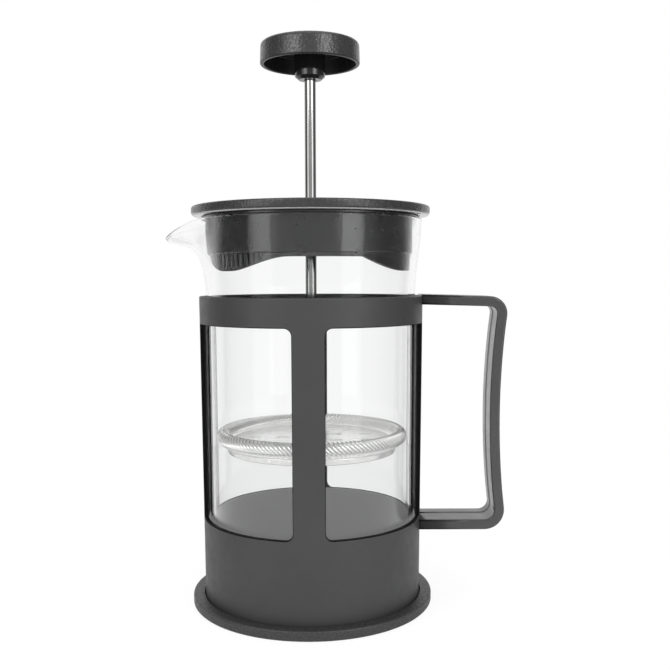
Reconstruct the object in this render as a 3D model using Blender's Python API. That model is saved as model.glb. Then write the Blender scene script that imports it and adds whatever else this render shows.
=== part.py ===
"""A small french press: a glass beaker in a moulded holder, with a lid and a plunger.

Metres, +Z up. The origin is the centre of the underside of the foot, on the axis of the
beaker. The handle points along +X and the spout along -X.
"""
import bisect
from math import atan2, cos, pi, radians, sin, sqrt

import bmesh
import bpy
from mathutils import Vector

MM = 0.001
GAP = 0.3 * MM                      # clearance between touching pieces
SEGMENTS = 48                       # sides of the large round pieces
KNOB_SEGMENTS = 36
SMALL_SEGMENTS = 20                 # sides of the small round pieces
SKIRT_SEGMENTS = 60
HOLE_SEGMENTS = 8

# Foot: a disc that the holder's cup sits in.
FOOT_RADIUS = 40.5 * MM
FOOT_HEIGHT = 3.3 * MM
FOOT_FLOOR = 1.5 * MM
FOOT_WELL_RADIUS = 36.8 * MM

# Holder: a cup, four struts and a ring, moulded in one.
CUP_BOTTOM = FOOT_FLOOR + GAP
CUP_RADIUS = 36.4 * MM              # outside, at the bottom
CUP_FLOOR = 2.0 * MM
RING_RADIUS = 37.5 * MM             # outside, at the top
RING_TOP = 103.4 * MM
BORE_BOTTOM_RADIUS = 34.75 * MM
BORE_TOP_RADIUS = 35.45 * MM
WINDOW_BOTTOM = 29.6 * MM
WINDOW_TOP = 94.2 * MM
STRUT_WIDTH = 10.4 * MM
WINDOW_CORNER = 2.3 * MM

# Handle: a flat strap bent to a D, tongued into the ring and the cup.
STRAP_WIDTH = 15.5 * MM
STRAP_THICKNESS = 3.4 * MM
STRAP_CORNER = 6.0 * MM             # bend radius on the middle of the strap
TOP_BAR_Z = 102.1 * MM
TOP_BAR_DROP = 0.8 * MM             # over the length of the bar
BOTTOM_BAR_Z = 26.6 * MM
GRIP_X = 61.1 * MM                  # the middle of the grip at its waist
GRIP_WAIST_Z = 62.0 * MM
GRIP_CURVE = 1.8                    # grip bow, in 1/m
TONGUE_WIDTH = 8.0 * MM
TONGUE_THICKNESS = 1.6 * MM

# Beaker: blown glass with a spout.
GLASS_BOTTOM = CUP_BOTTOM + CUP_FLOOR + GAP
GLASS_WALL = 1.6 * MM
GLASS_LOW_RADIUS = 34.3 * MM
GLASS_RADIUS = 35.0 * MM
GLASS_LEAN_TOP = 100 * MM           # the draft of the wall ends here
GLASS_CORNER = 6.0 * MM
GLASS_STRAIGHT_TOP = 104.0 * MM
GLASS_FLARE = 1.9 * MM
GLASS_FLARE_TOP = 126.0 * MM
RIM_Z = 128.6 * MM
SPOUT_REACH = 11.5 * MM
SPOUT_DROP = 5.8 * MM
SPOUT_HALF_ANGLE = radians(36)
SPOUT_DEPTH = 5.6 * MM              # below the rim, where the spout is half as deep

# Lid: a cover, a skirt that hangs in the beaker, and a guide bush for the rod.
LID_RADIUS = 39.8 * MM
LID_EDGE_Z = 129.7 * MM
LID_EDGE_HEIGHT = 3.1 * MM
LID_LIP = 1.5 * MM
LID_CROWN = 1.6 * MM                # how much the middle stands above the edge
LID_UNDERSIDE = 130.3 * MM
LID_HOLE_RADIUS = 3.9 * MM
SKIRT_FLANGE_RADIUS = 35.9 * MM
SKIRT_FLANGE_HEIGHT = 1.1 * MM
SKIRT_FLANGE_Z = RIM_Z + GAP
SKIRT_RADIUS = 34.0 * MM
SKIRT_STEP_Z = 117.4 * MM
SKIRT_STEP = 0.8 * MM
SKIRT_WALL = 1.2 * MM
SKIRT_BOTTOM = 111.6 * MM
# The lower edge, as (degrees from the front, height in mm): a strainer lobe and a plain lobe
# with a low arch between them in front, cut away high round the back for pouring.
SKIRT_EDGE = [(-180, 118.6), (-96, 118.6), (-54, 111.6), (-48, 111.6), (-10, 115.9),
              (30, 115.9), (64, 111.6), (86, 111.6), (118, 118.6), (180, 118.6)]
SKIRT_KINK = 30                     # degrees, where the edge turns down sharply
SLOT_COUNT = 9
SLOT_FIRST = -26.0                  # degrees from the front
SLOT_PITCH = -3.6
SLOT_WIDTH = 0.8 * MM
SLOT_TOP = 117.0 * MM
BUSH_RADIUS = 3.6 * MM
BUSH_BORE = 2.2 * MM
BUSH_FLANGE_RADIUS = 5.5 * MM
BUSH_BOTTOM = 129.6 * MM
BUSH_FLANGE_Z = 134.8 * MM
BUSH_TOP = 135.6 * MM

# Plunger rod, with the collar that the filter is clamped against.
ROD_RADIUS = 1.9 * MM
ROD_BOTTOM = 48.6 * MM
ROD_TOP = 181.0 * MM
COLLAR_RADIUS = 4.5 * MM
COLLAR_HEIGHT = 2.2 * MM

# Knob: a hollow cap with a boss round a threaded insert.
KNOB_RADIUS = 16.6 * MM
KNOB_RIM_Z = 179.9 * MM
KNOB_EDGE_Z = 187.0 * MM
KNOB_TOP = 188.3 * MM
KNOB_WALL = 1.3 * MM
KNOB_CEILING = 185.4 * MM
KNOB_EDGE_ROUND = 1.5 * MM
BOSS_RADIUS = 5.0 * MM
BOSS_BOTTOM = 175.0 * MM
BOSS_CHAMFER = 1.0 * MM
INSERT_RADIUS = 3.3 * MM
INSERT_BOTTOM = 176.8 * MM
INSERT_TOP = 181.8 * MM

# Filter: spring-edged spiral plate, mesh screen, cross plate and nut.
COIL_RADIUS = 32.3 * MM             # outside
COIL_THICKNESS = 4.7 * MM           # across the windings
COIL_Z = 56.6 * MM
PLATE_THICKNESS = 0.8 * MM
SPIRAL_PLATE_Z = 54.4 * MM
SPIRAL_PLATE_RADIUS = 27.2 * MM
SPIRAL_HOLE_RINGS = [(10.0, 5), (19.5, 11)]   # (radius in mm, holes)
SPIRAL_HOLE_RADIUS = 2.4 * MM
SCREEN_Z = 53.6 * MM
SCREEN_THICKNESS = 0.4 * MM
SCREEN_RADIUS = 30.0 * MM
CROSS_PLATE_Z = 51.1 * MM
CROSS_PLATE_RADIUS = 29.0 * MM
CROSS_RIM_HEIGHT = 2.1 * MM
CROSS_HOLES = 8
CROSS_HOLE_CIRCLE = 17.5 * MM
CROSS_HOLE_RADIUS = 5.2 * MM
NUT_RADIUS = 4.6 * MM
NUT_HEIGHT = 2.4 * MM
HOLE_CLEARANCE = GAP

# Colours, as (red, green, blue), roughness and metallic.
GREY_PLASTIC = ("grey_plastic", (0.085, 0.085, 0.088), 0.38, 0.0)
GRAINED_PLASTIC = ("grained_plastic", (0.070, 0.070, 0.072), 0.55, 0.0)
CLEAR_GLASS = ("clear_glass", (0.90, 0.94, 0.93), 0.02, 0.0)
BUSH_PLASTIC = ("bush_plastic", (0.045, 0.045, 0.047), 0.45, 0.0)
STEEL = ("stainless_steel", (0.62, 0.62, 0.61), 0.25, 1.0)
BRASS = ("insert_brass", (0.60, 0.45, 0.20), 0.35, 1.0)


def clear_scene():
    for item in list(bpy.data.objects):
        bpy.data.objects.remove(item, do_unlink=True)


def material(spec):
    name, colour, roughness, metallic = spec
    found = bpy.data.materials.get(name)
    if found:
        return found
    made = bpy.data.materials.new(name)
    made.use_nodes = True
    shader = made.node_tree.nodes["Principled BSDF"]
    shader.inputs["Base Color"].default_value = (*colour, 1.0)
    shader.inputs["Roughness"].default_value = roughness
    shader.inputs["Metallic"].default_value = metallic
    return made


def add_object(name, mesh_data, spec, sharp=35.0):
    """Put a bmesh into the scene as one smooth-shaded object."""
    bmesh.ops.recalc_face_normals(mesh_data, faces=mesh_data.faces)
    mesh = bpy.data.meshes.new(name)
    mesh_data.to_mesh(mesh)
    mesh_data.free()
    mesh.shade_smooth()
    mesh.set_sharp_from_angle(angle=radians(sharp))
    made = bpy.data.objects.new(name, mesh)
    if spec:
        made.data.materials.append(material(spec))
    bpy.context.collection.objects.link(made)
    return made


def arc(centre_r, centre_z, radius, start, end, steps):
    """Points on a circle in the (r, z) plane, from one angle in degrees to another."""
    angles = [radians(start + (end - start) * i / steps) for i in range(steps + 1)]
    return [(centre_r + radius * cos(a), centre_z + radius * sin(a)) for a in angles]


def spin_outline(outline, segments, closed):
    """Turn an (r, z) outline about the Z axis. An open one starts and ends on the axis."""
    shape = bmesh.new()
    corners = [shape.verts.new((r, 0.0, z)) for r, z in outline]
    edges = [shape.edges.new(pair) for pair in zip(corners, corners[1:])]
    if closed:
        edges.append(shape.edges.new((corners[-1], corners[0])))
    bmesh.ops.spin(shape, geom=corners + edges, cent=(0, 0, 0), axis=(0, 0, 1), dvec=(0, 0, 0),
                   angle=2 * pi, steps=segments, use_merge=True, use_duplicate=False)
    bmesh.ops.remove_doubles(shape, verts=shape.verts, dist=1e-7)
    return shape


def turned(name, outline, spec, segments=SEGMENTS, closed=True):
    return add_object(name, spin_outline(outline, segments, closed), spec)


def cutter(name, shape):
    made = add_object(name, shape, None)
    made.hide_render = True
    made.display_type = "WIRE"
    return made


def combine(target, tool, operation="DIFFERENCE"):
    change = target.modifiers.new(tool.name, "BOOLEAN")
    change.operation = operation
    change.object = tool
    change.solver = "EXACT"


def join_shapes(shapes):
    """Copy several bmeshes into one."""
    whole = bmesh.new()
    for shape in shapes:
        scratch = bpy.data.meshes.new("scratch")
        shape.to_mesh(scratch)
        shape.free()
        whole.from_mesh(scratch)
        bpy.data.meshes.remove(scratch)
    return whole


def box_shape(low, high):
    shape = bmesh.new()
    bmesh.ops.create_cube(shape, size=1.0)
    size = Vector(high) - Vector(low)
    middle = (Vector(high) + Vector(low)) / 2
    for vert in shape.verts:
        vert.co = Vector(a * b for a, b in zip(vert.co, size)) + middle
    return shape


def holder_radius(z):
    """Outer radius of the holder at a height."""
    return CUP_RADIUS + (RING_RADIUS - CUP_RADIUS) * (z - CUP_BOTTOM) / (RING_TOP - CUP_BOTTOM)


def make_base_foot():
    edge = 0.6 * MM
    outline = [(0, 0), (FOOT_RADIUS - edge, 0), (FOOT_RADIUS, edge),
               (FOOT_RADIUS, FOOT_HEIGHT - edge), (FOOT_RADIUS - edge, FOOT_HEIGHT),
               (FOOT_WELL_RADIUS, FOOT_HEIGHT), (FOOT_WELL_RADIUS, FOOT_FLOOR), (0, FOOT_FLOOR)]
    turned("base_foot", outline, GRAINED_PLASTIC, closed=False)


def window_shape(middle_angle):
    """A rounded window through the holder's wall, from inside the bore to well outside."""
    inner, outer, corner_steps = 30 * MM, 52 * MM, 3
    half = pi / 4 - STRUT_WIDTH / 2 / RING_RADIUS
    round_angle = WINDOW_CORNER / RING_RADIUS
    low, high = WINDOW_BOTTOM + WINDOW_CORNER, WINDOW_TOP - WINDOW_CORNER
    corners = [(half - round_angle, high, 0), (-half + round_angle, high, 90),
               (-half + round_angle, low, 180), (half - round_angle, low, 270)]
    loop = []
    for angle, z, start in corners:
        for i in range(corner_steps + 1):
            turn = radians(start + 90 * i / corner_steps)
            loop.append((angle + round_angle * cos(turn), z + WINDOW_CORNER * sin(turn)))
    shape = bmesh.new()
    rings = []
    for radius in (inner, outer):
        points = [(radius * cos(middle_angle + a), radius * sin(middle_angle + a), z)
                  for a, z in loop]
        rings.append([shape.verts.new(point) for point in points])
    count = len(loop)
    for i in range(count):
        j = (i + 1) % count
        shape.faces.new((rings[0][i], rings[0][j], rings[1][j], rings[1][i]))
    # Each end is closed by upright strips between the window's top and its bottom.
    for ring in rings:
        for i in range(count // 2 - 1):
            shape.faces.new((ring[i], ring[i + 1], ring[-i - 2], ring[-i - 1]))
    return shape


def make_holder_frame():
    edge = 0.5 * MM
    floor = CUP_BOTTOM + CUP_FLOOR
    outline = [(0, CUP_BOTTOM), (CUP_RADIUS - edge, CUP_BOTTOM), (CUP_RADIUS, CUP_BOTTOM + edge),
               (RING_RADIUS, RING_TOP - edge), (RING_RADIUS - edge, RING_TOP),
               (BORE_TOP_RADIUS + edge, RING_TOP), (BORE_TOP_RADIUS, RING_TOP - edge),
               (BORE_BOTTOM_RADIUS, floor + GLASS_CORNER), (BORE_BOTTOM_RADIUS, floor),
               (0, floor)]
    frame = turned("holder_frame", outline, GREY_PLASTIC, closed=False)
    windows = join_shapes([window_shape(pi / 4 + k * pi / 2) for k in range(4)])
    combine(frame, cutter("window_cutter", windows))
    slots = []
    for z in (TOP_BAR_Z, BOTTOM_BAR_Z):
        half_y, half_z = TONGUE_WIDTH / 2 + GAP, TONGUE_THICKNESS / 2 + GAP
        slots.append(box_shape((30 * MM, -half_y, z - half_z), (45 * MM, half_y, z + half_z)))
    combine(frame, cutter("slot_cutter", join_shapes(slots)))


def fillet(before, corner, after, radius, steps):
    """Points of an arc that rounds the corner between two straight runs."""
    corner = Vector(corner)
    back = (Vector(before) - corner).normalized()
    ahead = (Vector(after) - corner).normalized()
    half = back.angle(ahead) / 2
    centre = corner + (back + ahead).normalized() * radius / sin(half)
    outward = corner - centre
    middle = atan2(outward.y, outward.x)
    sweep = pi / 2 - half
    turn = 1 if back.cross(ahead) < 0 else -1
    angles = [middle + turn * sweep * (2 * i / steps - 1) for i in range(steps + 1)]
    return [centre + radius * Vector((cos(a), sin(a))) for a in angles]


def grip_point(z):
    return (GRIP_X + GRIP_CURVE * (z - GRIP_WAIST_Z) ** 2, z)


def strap_path():
    """Middle line of the strap in the (x, z) plane, from the ring to the cup."""
    top_root, bottom_root = (RING_RADIUS, TOP_BAR_Z), (holder_radius(BOTTOM_BAR_Z), BOTTOM_BAR_Z)
    top_corner = grip_point(TOP_BAR_Z - TOP_BAR_DROP)
    bottom_corner = grip_point(BOTTOM_BAR_Z)
    grip = [grip_point(z * MM) for z in (90, 80, 70, 62, 54, 46, 38)]
    path = [Vector(top_root)]
    path += fillet(top_root, top_corner, grip[0], STRAP_CORNER, 6)
    path += [Vector(point) for point in grip]
    path += fillet(grip[-1], bottom_corner, bottom_root, STRAP_CORNER, 6)
    return path + [Vector(bottom_root)]


def make_handle():
    path = strap_path()
    across = [-1.0, -0.6, -0.2, 0.2, 0.6, 1.0]
    last = len(path) - 1
    half = STRAP_WIDTH / 2
    shape = bmesh.new()
    rings = []
    for index, point in enumerate(path):
        ahead, behind = path[min(index + 1, last)], path[max(index - 1, 0)]
        along = (ahead - behind).normalized()
        if index in (0, last):
            along = Vector((1, 0)) if index == 0 else Vector((-1, 0))
        normal = Vector((-along.y, along.x))
        root = RING_RADIUS if index <= last / 2 else holder_radius(BOTTOM_BAR_Z)
        ring = []
        for side, order in ((1, across), (-1, across[::-1])):
            for f in order:
                spot = point + normal * side * STRAP_THICKNESS / 2
                x = spot.x
                if index in (0, last):
                    x = sqrt((root + GAP) ** 2 - (half * f) ** 2)
                ring.append(shape.verts.new((x, half * f, spot.y)))
        rings.append(ring)
    count = len(rings[0])
    for ring, following in zip(rings, rings[1:]):
        for i in range(count):
            j = (i + 1) % count
            shape.faces.new((ring[i], ring[j], following[j], following[i]))
    for ring in (rings[0], rings[-1]):
        for i in range(len(across) - 1):
            shape.faces.new((ring[i], ring[i + 1], ring[-i - 2], ring[-i - 1]))
    handle = add_object("handle", shape, GREY_PLASTIC)
    tongues = []
    for z in (TOP_BAR_Z, BOTTOM_BAR_Z):
        start = holder_radius(z) - 1.3 * MM
        half_y, half_z = TONGUE_WIDTH / 2, TONGUE_THICKNESS / 2
        tongues.append(box_shape((start, -half_y, z - half_z), (40 * MM, half_y, z + half_z)))
    combine(handle, cutter("tongue_shape", join_shapes(tongues)), "UNION")


def smooth_step(t):
    t = min(1.0, max(0.0, t))
    return t * t * (3 - 2 * t)


def glass_radius(z):
    """Outer radius of the beaker above its bottom corner, away from the spout."""
    lean = min(1.0, z / GLASS_LEAN_TOP)
    flare = smooth_step((z - GLASS_STRAIGHT_TOP) / (GLASS_FLARE_TOP - GLASS_STRAIGHT_TOP))
    straight = GLASS_LOW_RADIUS + (GLASS_RADIUS - GLASS_LOW_RADIUS) * lean
    return straight + GLASS_FLARE * flare


def bend_to_spout(point):
    """Move a point of the plain beaker outwards and down into the spout."""
    radius = sqrt(point.x ** 2 + point.y ** 2)
    if point.z < GLASS_STRAIGHT_TOP or radius == 0:
        return point
    away = Vector((-1, 0)).angle(Vector((point.x, point.y)))
    if away >= SPOUT_HALF_ANGLE:
        return point
    near = cos(pi / 2 * away / SPOUT_HALF_ANGLE) ** 2.6
    below_rim = max(0.0, RIM_Z - point.z) / SPOUT_DEPTH
    depth = 1 / (1 + below_rim ** 2.6)
    scale = 1 + SPOUT_REACH * near * depth / radius
    return Vector((point.x * scale, point.y * scale,
                   point.z - SPOUT_DROP * near ** 1.5 * depth))


def make_beaker():
    """The outer skin is spun and drawn out to the spout, then thickened inwards."""
    corner_z = GLASS_BOTTOM + GLASS_CORNER
    low_radius = glass_radius(corner_z)
    outline = [(0, GLASS_BOTTOM)]
    outline += arc(low_radius - GLASS_CORNER, corner_z, GLASS_CORNER, -90, 0, 3)
    heights = [100, 106, 110, 114, 117, 120, 122.5, 125, 127]
    outline += [(glass_radius(z * MM), z * MM) for z in heights]
    outline.append((glass_radius(RIM_Z), RIM_Z))
    shape = spin_outline(outline, SEGMENTS, False)
    for vert in shape.verts:
        vert.co = bend_to_spout(vert.co)
    beaker = add_object("beaker", shape, CLEAR_GLASS)
    wall = beaker.modifiers.new("wall", "SOLIDIFY")
    wall.thickness = GLASS_WALL
    wall.offset = -1.0
    wall.use_even_offset = True


def make_lid_cover():
    edge = 1.6 * MM
    top = LID_EDGE_Z + LID_EDGE_HEIGHT
    hub_radius = 9 * MM
    outline = arc(LID_RADIUS - edge, top - edge, edge, 0, 75, 3)
    outline += [(28 * MM, top + 0.6 * LID_CROWN), (hub_radius, top + LID_CROWN),
                (LID_HOLE_RADIUS, top + LID_CROWN), (LID_HOLE_RADIUS, LID_UNDERSIDE),
                (hub_radius, LID_UNDERSIDE), (hub_radius + 1 * MM, LID_UNDERSIDE + 1.2 * MM),
                (26 * MM, LID_UNDERSIDE + 0.9 * MM), (31 * MM, LID_UNDERSIDE),
                (LID_RADIUS - LID_LIP, LID_UNDERSIDE), (LID_RADIUS - LID_LIP, LID_EDGE_Z),
                (LID_RADIUS - 0.3 * MM, LID_EDGE_Z), (LID_RADIUS, LID_EDGE_Z + 0.3 * MM)]
    turned("lid_cover", outline, GRAINED_PLASTIC)


def skirt_edge(degrees):
    """Height of the skirt's lower edge at an angle from the front."""
    knots = [angle for angle, _ in SKIRT_EDGE]
    index = min(bisect.bisect_right(knots, degrees), len(knots) - 1)
    (start, low), (end, high) = SKIRT_EDGE[index - 1], SKIRT_EDGE[index]
    t = (degrees - start) / (end - start)
    share = 1 - (1 - t) ** 2 if start == SKIRT_KINK else smooth_step(t)
    return (low + (high - low) * share) * MM


def front_angle(degrees):
    """Unit vector in plan, from an angle that is 0 at the front and grows towards +X."""
    return sin(radians(degrees)), -cos(radians(degrees))


def make_lid_skirt():
    steps = SKIRT_SEGMENTS
    low_radius = SKIRT_RADIUS - SKIRT_STEP
    outline = [(SKIRT_FLANGE_RADIUS, SKIRT_FLANGE_Z),
               (SKIRT_FLANGE_RADIUS, SKIRT_FLANGE_Z + SKIRT_FLANGE_HEIGHT),
               (SKIRT_RADIUS - SKIRT_WALL, SKIRT_FLANGE_Z + SKIRT_FLANGE_HEIGHT),
               (SKIRT_RADIUS - SKIRT_WALL, SKIRT_STEP_Z),
               (low_radius - SKIRT_WALL, SKIRT_STEP_Z - 1 * MM),
               (low_radius - SKIRT_WALL - 0.2 * MM, SKIRT_BOTTOM - 2 * MM),
               (low_radius - 0.2 * MM, SKIRT_BOTTOM - 2 * MM),
               (low_radius, SKIRT_STEP_Z - 0.3 * MM),
               (SKIRT_RADIUS, SKIRT_STEP_Z), (SKIRT_RADIUS, SKIRT_FLANGE_Z)]
    skirt = turned("lid_skirt", outline, GREY_PLASTIC, segments=steps)
    below = bmesh.new()
    rings = []
    for k in range(steps):
        degrees = -180 + 360 * (k + 0.5) / steps
        x, y = front_angle(degrees)
        top = skirt_edge(degrees)
        bottom = SKIRT_BOTTOM - 6 * MM
        corners = [(28 * MM, bottom), (38 * MM, bottom), (38 * MM, top), (28 * MM, top)]
        rings.append([below.verts.new((r * x, r * y, z)) for r, z in corners])
    for k in range(steps):
        ring, following = rings[k], rings[(k + 1) % steps]
        for i in range(4):
            j = (i + 1) % 4
            below.faces.new((ring[i], ring[j], following[j], following[i]))
    combine(skirt, cutter("edge_cutter", below))
    slots = []
    for k in range(SLOT_COUNT):
        x, y = front_angle(SLOT_FIRST + k * SLOT_PITCH)
        bottom = skirt_edge(SLOT_FIRST + k * SLOT_PITCH) + 1.2 * MM
        slot = box_shape((30 * MM, -SLOT_WIDTH / 2, bottom), (38 * MM, SLOT_WIDTH / 2, SLOT_TOP))
        for vert in slot.verts:
            across = vert.co.y
            vert.co = Vector((vert.co.x * x - across * y, vert.co.x * y + across * x, vert.co.z))
        slots.append(slot)
    combine(skirt, cutter("strainer_cutter", join_shapes(slots)))


def make_lid_bush():
    outline = [(BUSH_RADIUS, BUSH_BOTTOM), (BUSH_RADIUS, BUSH_FLANGE_Z),
               (BUSH_FLANGE_RADIUS, BUSH_FLANGE_Z), (BUSH_FLANGE_RADIUS, BUSH_TOP - 0.3 * MM),
               (BUSH_FLANGE_RADIUS - 0.3 * MM, BUSH_TOP), (BUSH_BORE, BUSH_TOP),
               (BUSH_BORE, BUSH_BOTTOM)]
    turned("lid_bush", outline, BUSH_PLASTIC, segments=SMALL_SEGMENTS)


def make_plunger_rod():
    edge = 0.4 * MM
    outline = [(0, ROD_BOTTOM), (ROD_RADIUS - edge, ROD_BOTTOM), (ROD_RADIUS, ROD_BOTTOM + edge),
               (ROD_RADIUS, ROD_TOP - edge), (ROD_RADIUS - edge, ROD_TOP), (0, ROD_TOP)]
    turned("plunger_rod", outline, STEEL, segments=SMALL_SEGMENTS, closed=False)


def make_rod_collar():
    low = SPIRAL_PLATE_Z + PLATE_THICKNESS + GAP
    high = low + COLLAR_HEIGHT
    bore = ROD_RADIUS + HOLE_CLEARANCE
    edge = 0.4 * MM
    outline = [(bore, low), (bore, high), (COLLAR_RADIUS - edge, high),
               (COLLAR_RADIUS, high - edge), (COLLAR_RADIUS, low)]
    turned("rod_collar", outline, STEEL, segments=SMALL_SEGMENTS)


def make_knob():
    bore, pocket = ROD_RADIUS + HOLE_CLEARANCE, INSERT_RADIUS + HOLE_CLEARANCE
    inner = KNOB_RADIUS - KNOB_WALL
    outline = [(0, KNOB_TOP), (KNOB_RADIUS / 2, KNOB_TOP - 0.4 * MM)]
    outline += arc(KNOB_RADIUS - 0.2 * MM - KNOB_EDGE_ROUND, KNOB_EDGE_Z - KNOB_EDGE_ROUND,
                   KNOB_EDGE_ROUND, 70, 0, 3)
    outline += [(KNOB_RADIUS, KNOB_RIM_Z + 0.3 * MM), (KNOB_RADIUS - 0.3 * MM, KNOB_RIM_Z),
                (inner, KNOB_RIM_Z), (inner - 0.3 * MM, KNOB_CEILING - 1 * MM),
                (inner - 1.2 * MM, KNOB_CEILING), (BOSS_RADIUS + 0.2 * MM, KNOB_CEILING),
                (BOSS_RADIUS, BOSS_BOTTOM + BOSS_CHAMFER),
                (BOSS_RADIUS - 1.2 * BOSS_CHAMFER, BOSS_BOTTOM), (bore, BOSS_BOTTOM),
                (bore, INSERT_BOTTOM - GAP), (pocket, INSERT_BOTTOM - GAP),
                (pocket, INSERT_TOP + GAP), (0, INSERT_TOP + GAP)]
    turned("knob", outline, GRAINED_PLASTIC, segments=KNOB_SEGMENTS, closed=False)


def make_knob_insert():
    bore = ROD_RADIUS + HOLE_CLEARANCE
    waist = INSERT_RADIUS - 0.5 * MM
    middle = (INSERT_BOTTOM + INSERT_TOP) / 2
    outline = [(bore, INSERT_BOTTOM), (bore, INSERT_TOP), (INSERT_RADIUS, INSERT_TOP),
               (INSERT_RADIUS, middle + 0.7 * MM), (waist, middle + 0.4 * MM),
               (waist, middle - 0.4 * MM), (INSERT_RADIUS, middle - 0.7 * MM),
               (INSERT_RADIUS, INSERT_BOTTOM)]
    turned("knob_insert", outline, BRASS, segments=24)


def make_coil_spring():
    """The envelope of the windings: a ring with a round section."""
    half = COIL_THICKNESS / 2
    outline = arc(COIL_RADIUS - half, COIL_Z, half, 0, 360, 10)[:-1]
    turned("coil_spring", outline, STEEL)


def drill(target, name, circles):
    """Cut round holes through a flat plate, as (x, y, radius) at its height."""
    holes = []
    for x, y, radius in circles:
        hole = bmesh.new()
        bmesh.ops.create_cone(hole, cap_ends=True, cap_tris=False, segments=HOLE_SEGMENTS,
                              radius1=radius, radius2=radius, depth=4 * MM)
        bmesh.ops.translate(hole, verts=hole.verts, vec=(x, y, CROSS_PLATE_Z))
        holes.append(hole)
    tool = cutter(name, join_shapes(holes))
    combine(target, tool)
    return tool


def make_spiral_plate():
    low, high = SPIRAL_PLATE_Z, SPIRAL_PLATE_Z + PLATE_THICKNESS
    bore = ROD_RADIUS + HOLE_CLEARANCE
    outline = [(bore, low), (bore, high), (SPIRAL_PLATE_RADIUS, high), (SPIRAL_PLATE_RADIUS, low)]
    plate = turned("spiral_plate", outline, STEEL)
    circles = []
    for radius, count in SPIRAL_HOLE_RINGS:
        for k in range(count):
            angle = 2 * pi * (k + 0.5) / count
            circles.append((radius * MM * cos(angle), radius * MM * sin(angle), SPIRAL_HOLE_RADIUS))
    tool = drill(plate, "spiral_hole_cutter", circles)
    tool.location.z = SPIRAL_PLATE_Z - CROSS_PLATE_Z


def make_mesh_screen():
    low, high = SCREEN_Z, SCREEN_Z + SCREEN_THICKNESS
    bore = ROD_RADIUS + HOLE_CLEARANCE
    turned("mesh_screen", [(bore, low), (bore, high), (SCREEN_RADIUS, high), (SCREEN_RADIUS, low)],
           STEEL)


def make_cross_plate():
    low, high = CROSS_PLATE_Z, CROSS_PLATE_Z + PLATE_THICKNESS
    bore = ROD_RADIUS + HOLE_CLEARANCE
    rim = low + CROSS_RIM_HEIGHT
    outline = [(bore, low), (bore, high), (CROSS_PLATE_RADIUS - 1.5 * MM, high),
               (CROSS_PLATE_RADIUS - 0.8 * MM, rim), (CROSS_PLATE_RADIUS, rim),
               (CROSS_PLATE_RADIUS - 0.5 * MM, low)]
    plate = turned("cross_plate", outline, STEEL)
    angles = [2 * pi * k / CROSS_HOLES for k in range(CROSS_HOLES)]
    circles = [(CROSS_HOLE_CIRCLE * cos(a), CROSS_HOLE_CIRCLE * sin(a), CROSS_HOLE_RADIUS)
               for a in angles]
    drill(plate, "cross_hole_cutter", circles)


def make_cross_plate_nut():
    """A hexagon nut under the cross plate."""
    high = CROSS_PLATE_Z - GAP
    low = high - NUT_HEIGHT
    bore = ROD_RADIUS + HOLE_CLEARANCE
    shape = bmesh.new()
    sides = 24
    rings = []
    for level in (low, high):
        for is_bore in (True, False):
            ring = []
            for k in range(sides):
                angle = 2 * pi * k / sides
                flat = cos(pi / 6) / cos((angle % (pi / 3)) - pi / 6)
                radius = bore if is_bore else NUT_RADIUS * flat
                ring.append(shape.verts.new((radius * cos(angle), radius * sin(angle), level)))
            rings.append(ring)
    low_bore, low_edge, high_bore, high_edge = rings
    for first, second in ((low_bore, low_edge), (low_edge, high_edge), (high_edge, high_bore),
                          (high_bore, low_bore)):
        for k in range(sides):
            j = (k + 1) % sides
            shape.faces.new((first[k], first[j], second[j], second[k]))
    add_object("cross_plate_nut", shape, STEEL)


def build():
    clear_scene()
    make_base_foot()
    make_holder_frame()
    make_handle()
    make_beaker()
    make_lid_cover()
    make_lid_skirt()
    make_lid_bush()
    make_plunger_rod()
    make_rod_collar()
    make_knob()
    make_knob_insert()
    make_coil_spring()
    make_spiral_plate()
    make_mesh_screen()
    make_cross_plate()
    make_cross_plate_nut()


build()
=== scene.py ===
"""Looks of a small french press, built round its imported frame.

Metres, +Z up. The origin is the middle of the underside of the foot, the handle points
along +X and the spout along -X. Every piece rides on the body of the CAD node it replaces.
"""
from math import atan2, cos, pi, radians, sin, sqrt, tan

import bmesh
import bpy
from mathutils import Matrix, Vector


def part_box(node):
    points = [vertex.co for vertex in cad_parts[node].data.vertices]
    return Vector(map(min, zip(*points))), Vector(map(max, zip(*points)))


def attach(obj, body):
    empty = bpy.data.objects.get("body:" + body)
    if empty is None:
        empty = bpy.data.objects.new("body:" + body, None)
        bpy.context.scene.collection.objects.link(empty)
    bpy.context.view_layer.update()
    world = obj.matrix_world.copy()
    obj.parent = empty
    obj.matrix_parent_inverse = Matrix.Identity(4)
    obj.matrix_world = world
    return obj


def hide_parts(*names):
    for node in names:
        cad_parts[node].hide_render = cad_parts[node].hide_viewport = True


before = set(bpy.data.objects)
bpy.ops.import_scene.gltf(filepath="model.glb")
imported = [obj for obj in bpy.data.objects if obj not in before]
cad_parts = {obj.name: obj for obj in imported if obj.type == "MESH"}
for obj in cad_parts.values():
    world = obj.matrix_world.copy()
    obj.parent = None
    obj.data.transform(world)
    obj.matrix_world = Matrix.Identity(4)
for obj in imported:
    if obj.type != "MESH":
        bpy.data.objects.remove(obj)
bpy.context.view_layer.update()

MM = 0.001
ROUND = 192                         # sides of the large round pieces
SMALL_ROUND = 64                    # sides of the small round pieces
FILLET_STEPS = 4

# Holder
STRUT_WIDTH = 10.4 * MM
WINDOW_BOTTOM = 29.6 * MM
WINDOW_TOP = 94.2 * MM
WINDOW_CORNER = 2.3 * MM
CUP_RADIUS = 36.4 * MM
CUP_FLOOR = 2.0 * MM
BORE_BOTTOM_RADIUS = 34.75 * MM
BORE_TOP_RADIUS = 35.45 * MM
HOLDER_EDGE = 0.45 * MM             # fillets of the moulding

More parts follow.
